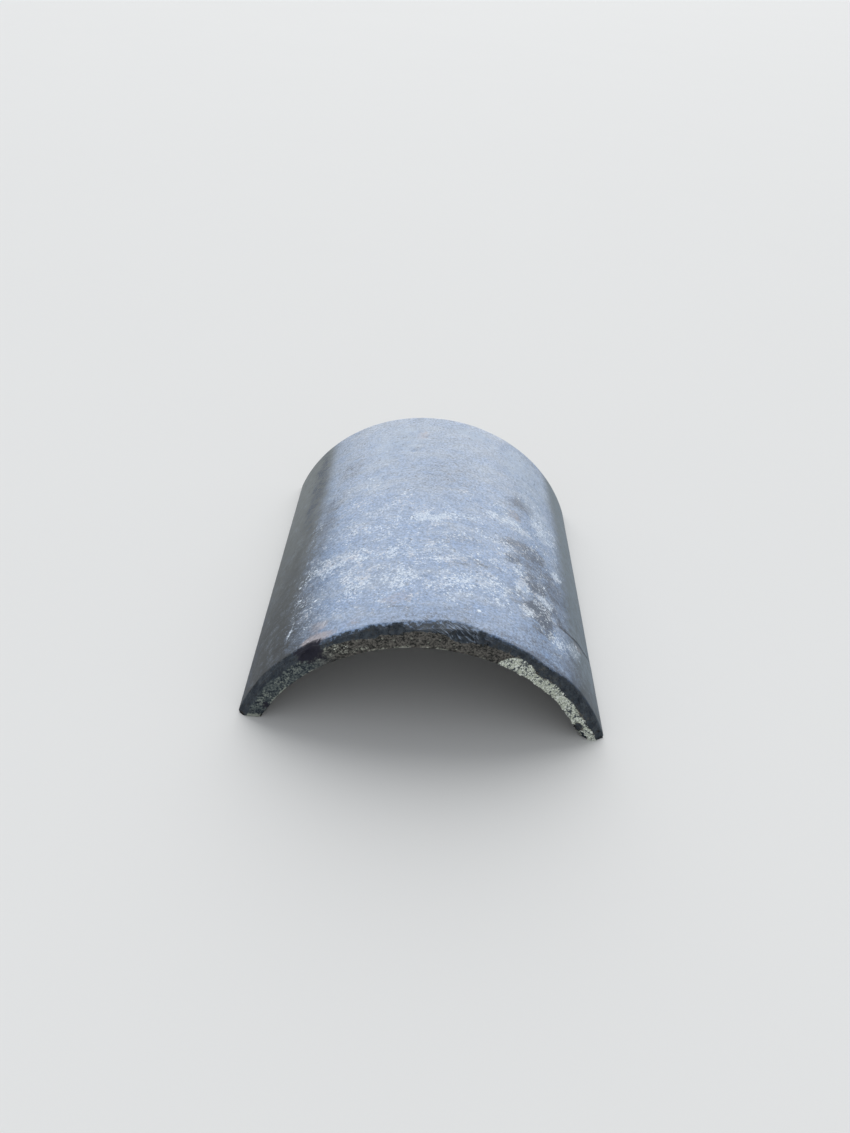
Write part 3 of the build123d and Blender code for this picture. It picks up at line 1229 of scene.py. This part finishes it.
def find_marks(points, barrel, wear):
    """Where each part of the finish lies, as a share at each point. The brink is in millimetres."""
    spots = Spots(points, barrel)
    above = barrel.wall - spots.depth
    ragged = cloud(points, 0.009, offset=20.0)
    near_end = step(spots.along, 0.030, 0.020)
    on_skin = step(spots.depth - wear.room - lip_step(spots, wear), 0.00192, 0.00072)
    on_end = end_cover(spots, above, wear)
    brink = broken_distance(spots)
    crust, band = crust_cover(spots, above, ragged, on_end)
    green = cover(GREEN_MARKS, spots, 0.4 * ragged, spots.depth)
    chalk = cover(CHALK_AND_SHEEN_MARKS, spots, 0.35 * ragged)
    film, fringe, veil = film_and_sheen_cover(spots, ragged)
    speckle, flakes = lime_cover(spots, chalk, film, fringe)
    grainy = 0.4 + 0.6 * smooth(0.6 + 1.4 * cloud(points, 0.0032, octaves=2, offset=53.0))
    return {
        "skin": on_skin * (1 - on_end),
        "cut": on_end,
        "broken": step(brink, -0.00075, -0.00025),
        "under": step(above, 0.0018, 0.0008) * (1 - on_end),
        "brink": np.clip(np.maximum(1000 * brink, -3.0 + 3.0 * band * near_end * on_end), -3.0, 1.0),
        "film": film,
        "veil": veil,
        "chalk": chalk,
        "soot": cover(SOOT_AND_SHADE_MARKS, spots, 0.35 * ragged),
        "crease": lip_shade_and_dirt(spots, ragged),
        "salmon": cover(SALMON_MARKS, spots, 0.35 * ragged),
        "violet": cover(VIOLET_MARKS, spots, 0.4 * ragged, spots.depth) * step(spots.along, 0.010, 0.008),
        "crust": crust * near_end,
        "slate": step(-spots.degrees, 26, 40) * near_end,
        "strokes": cover(STROKE_MARKS, spots, 0.2 * ragged),
        "rim": np.maximum(rim_cover(spots), green) * near_end,
        "speckle": speckle * on_skin,
        "flakes": flakes * on_skin,
        "crumbs": (crust * near_end) ** 1.5 * grainy + 0.05 * on_end * near_end * green,
    }


class RIDGE_OT_clay(Operator):
    """Builds the worn clay of the tile, which stands for the construction's solid"""

    bl_idname = "ridge_tile.clay"
    bl_label = "Clay body"

    def execute(self, context):
        scene = context.scene
        sizes = scene.ridge_sizes
        wear = scene.ridge_wear
        barrel = Barrel(sizes)
        skin = clay_finish("Glazed skin", 0.5, scene.ridge_colours)
        bare = clay_finish("Bare clay", 0.15, scene.ridge_colours)
        piece = new_piece("clay_body")
        slab = {
            "Inner Radius": barrel.inner,
            "Wall": barrel.wall,
            "Axis Height": barrel.axis,
            "Near End": barrel.near,
            "Length": barrel.length,
            "Far Lean": barrel.lean,
            "Columns": sizes.columns + 1,
            "Rows": sizes.rows + 1,
            "Layers": sizes.layers + 1,
            "Crowding": 0.45,
            "Clay": skin,
        }
        run_tree(piece, slab_tree(), slab)
        points = settle(get_points(piece.data), lambda places: clay_distance(places, barrel, sizes, wear))
        set_points(piece.data, points)
        for name, values in find_marks(points, barrel, wear).items():
            layer = piece.data.attributes.new(name, "FLOAT", "POINT")
            layer.data.foreach_set("value", values.astype(np.float32))
        relief = {
            "Skin": wear.skin_relief,
            "Cut": wear.cut_relief,
            "Broken": wear.broken_relief,
            "Drag": wear.under_relief,
            "Skin Finish": skin,
            "Bare Finish": bare,
        }
        run_tree(piece, relief_tree(), relief)
        finish_piece(piece)
        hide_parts(NODE)
        return {"FINISHED"}


def scattered_piece(name, finish, **values):
    """A piece of lumps scattered over the clay body."""
    piece = new_piece(name, bpy.data.objects["clay_body"].data.copy())
    tree = bpy.data.node_groups.get("Scattered lumps") or lump_tree()
    run_tree(piece, tree, {**values, "Finish": finish})
    finish_piece(piece)


class RIDGE_OT_crust(Operator):
    """Builds the crumbs of mortar and lichen that stick to the near end"""

    bl_idname = "ridge_tile.crust"
    bl_label = "Mortar crust"

    def execute(self, context):
        scattered_piece(
            "mortar_crust",
            lump_finish("Mortar crumbs", "mortar_dark", "mortar", 0.9, context.scene.ridge_colours),
            Mask="crumbs",
            Spacing=0.0005,
            Density=1.6e6,
            Smallest=0.00022,
            Largest=0.00085,
            Thickness=0.70,
            Raggedness=0.8,
            Seed=3,
        )
        return {"FINISHED"}


class RIDGE_OT_lime(Operator):
    """Builds the specks of lime on the outer face"""

    bl_idname = "ridge_tile.lime"
    bl_label = "Lime specks"

    def execute(self, context):
        scattered_piece(
            "lime_specks",
            lump_finish("Lime specks", "lime_dark", "lime", 0.7, context.scene.ridge_colours),
            Mask="flakes",
            Spacing=0.0006,
            Density=1.0e5,
            Smallest=0.00018,
            Largest=0.0012,
            Thickness=0.13,
            Raggedness=0.35,
            Seed=8,
        )
        return {"FINISHED"}


def floor_mesh(size):
    """A square floor in the plane of the bed."""
    mesh = bpy.data.meshes.new("studio_floor")
    shape = bmesh.new()
    bmesh.ops.create_grid(shape, x_segments=2, y_segments=2, size=size / 2)
    shape.to_mesh(mesh)
    shape.free()
    return mesh


def add_sun(stage):
    """Broad soft key light above and behind the tile."""
    light = bpy.data.lights.new("soft_key", "SUN")
    light.energy = stage.sun
    light.angle = stage.sun_width
    lamp = bpy.data.objects.new("soft_key", light)
    lamp.rotation_euler = (-stage.sun_tilt, 0.0, 0.0)
    bpy.context.scene.collection.objects.link(lamp)


def add_sky(stage):
    """Even fill light, and the pale backdrop that the camera sees beyond the floor."""
    world = bpy.data.worlds.new("studio")
    world.use_nodes = True
    world.node_tree.nodes.clear()
    make = Maker(world.node_tree)
    path = make.add("ShaderNodeLightPath")
    rays = ("Is Camera Ray", "Is Glossy Ray", "Is Transmission Ray")
    camera, glossy, through = (make.field(path, name) for name in rays)
    seen = make.math("MINIMUM", camera + glossy + through, 1.0)
    fill = make.add("ShaderNodeBackground", {"Color": opaque(stage.fill), "Strength": stage.fill_strength})
    backdrop = make.add("ShaderNodeBackground", {"Color": opaque(stage.backdrop), "Strength": 1.0})
    shown = make.add("ShaderNodeMixShader", {0: seen, 1: fill, 2: backdrop})
    make.add("ShaderNodeOutputWorld", {0: shown})
    bpy.context.scene.world = world


def add_camera(stage):
    """The camera at the photograph's angle."""
    azimuth, descent, roll = stage.azimuth, stage.descent, stage.roll
    forward = Vector((sin(azimuth) * cos(descent), cos(azimuth) * cos(descent), -sin(descent)))
    level = Vector((cos(azimuth), -sin(azimuth), 0.0))
    upright = level.cross(forward)
    right = cos(roll) * level + sin(roll) * upright
    up = cos(roll) * upright - sin(roll) * level
    lens = bpy.data.cameras.new("view")
    lens.sensor_fit = "VERTICAL"
    lens.sensor_height = SENSOR_HEIGHT
    lens.lens = stage.lens
    camera = bpy.data.objects.new("view", lens)
    turned = Matrix((right, up, -forward)).transposed().to_4x4()
    camera.matrix_world = Matrix.Translation(CAMERA_PLACE) @ turned
    bpy.context.scene.collection.objects.link(camera)
    bpy.context.scene.camera = camera


class RIDGE_OT_stage(Operator):
    """Sets up the plain floor, the soft light and the camera"""

    bl_idname = "ridge_tile.stage"
    bl_label = "Studio"

    def execute(self, context):
        stage = context.scene.ridge_stage
        floor = new_piece("studio_floor", floor_mesh(stage.floor_size))
        floor.data.materials.append(floor_finish(stage.floor))
        add_sun(stage)
        add_sky(stage)
        add_camera(stage)
        context.scene.view_settings.view_transform = "Standard"
        return {"FINISHED"}


OPERATORS = (RIDGE_OT_clay, RIDGE_OT_crust, RIDGE_OT_lime, RIDGE_OT_stage)


class RIDGE_PT_panel(Panel):
    """Lists the pieces of the tile and the settings that they are built from"""

    bl_idname = "RIDGE_PT_panel"
    bl_label = "Ridge Tile"
    bl_space_type = "VIEW_3D"
    bl_region_type = "UI"
    bl_category = "Ridge Tile"

    def draw(self, context):
        for operator in OPERATORS:
            self.layout.operator(operator.bl_idname)
        for name, group in SETTINGS.items():
            box = self.layout.box()
            box.label(text=group.__doc__)
            for setting in group.__annotations__:
                box.prop(getattr(context.scene, name), setting)


CLASSES = (*SETTINGS.values(), *OPERATORS, RIDGE_PT_panel)


def register():
    """Makes the classes known, and gives every scene the settings."""
    for kind in CLASSES:
        bpy.utils.register_class(kind)
    for name, group in SETTINGS.items():
        setattr(bpy.types.Scene, name, PointerProperty(type=group))


def unregister():
    """Takes back what register did."""
    for name in SETTINGS:
        delattr(bpy.types.Scene, name)
    for kind in reversed(CLASSES):
        bpy.utils.unregister_class(kind)


def main():
    """Builds the studio and every piece."""
    register()
    bpy.ops.ridge_tile.stage()
    bpy.ops.ridge_tile.clay()
    bpy.ops.ridge_tile.crust()
    bpy.ops.ridge_tile.lime()


if __name__ == "__main__":
    main()
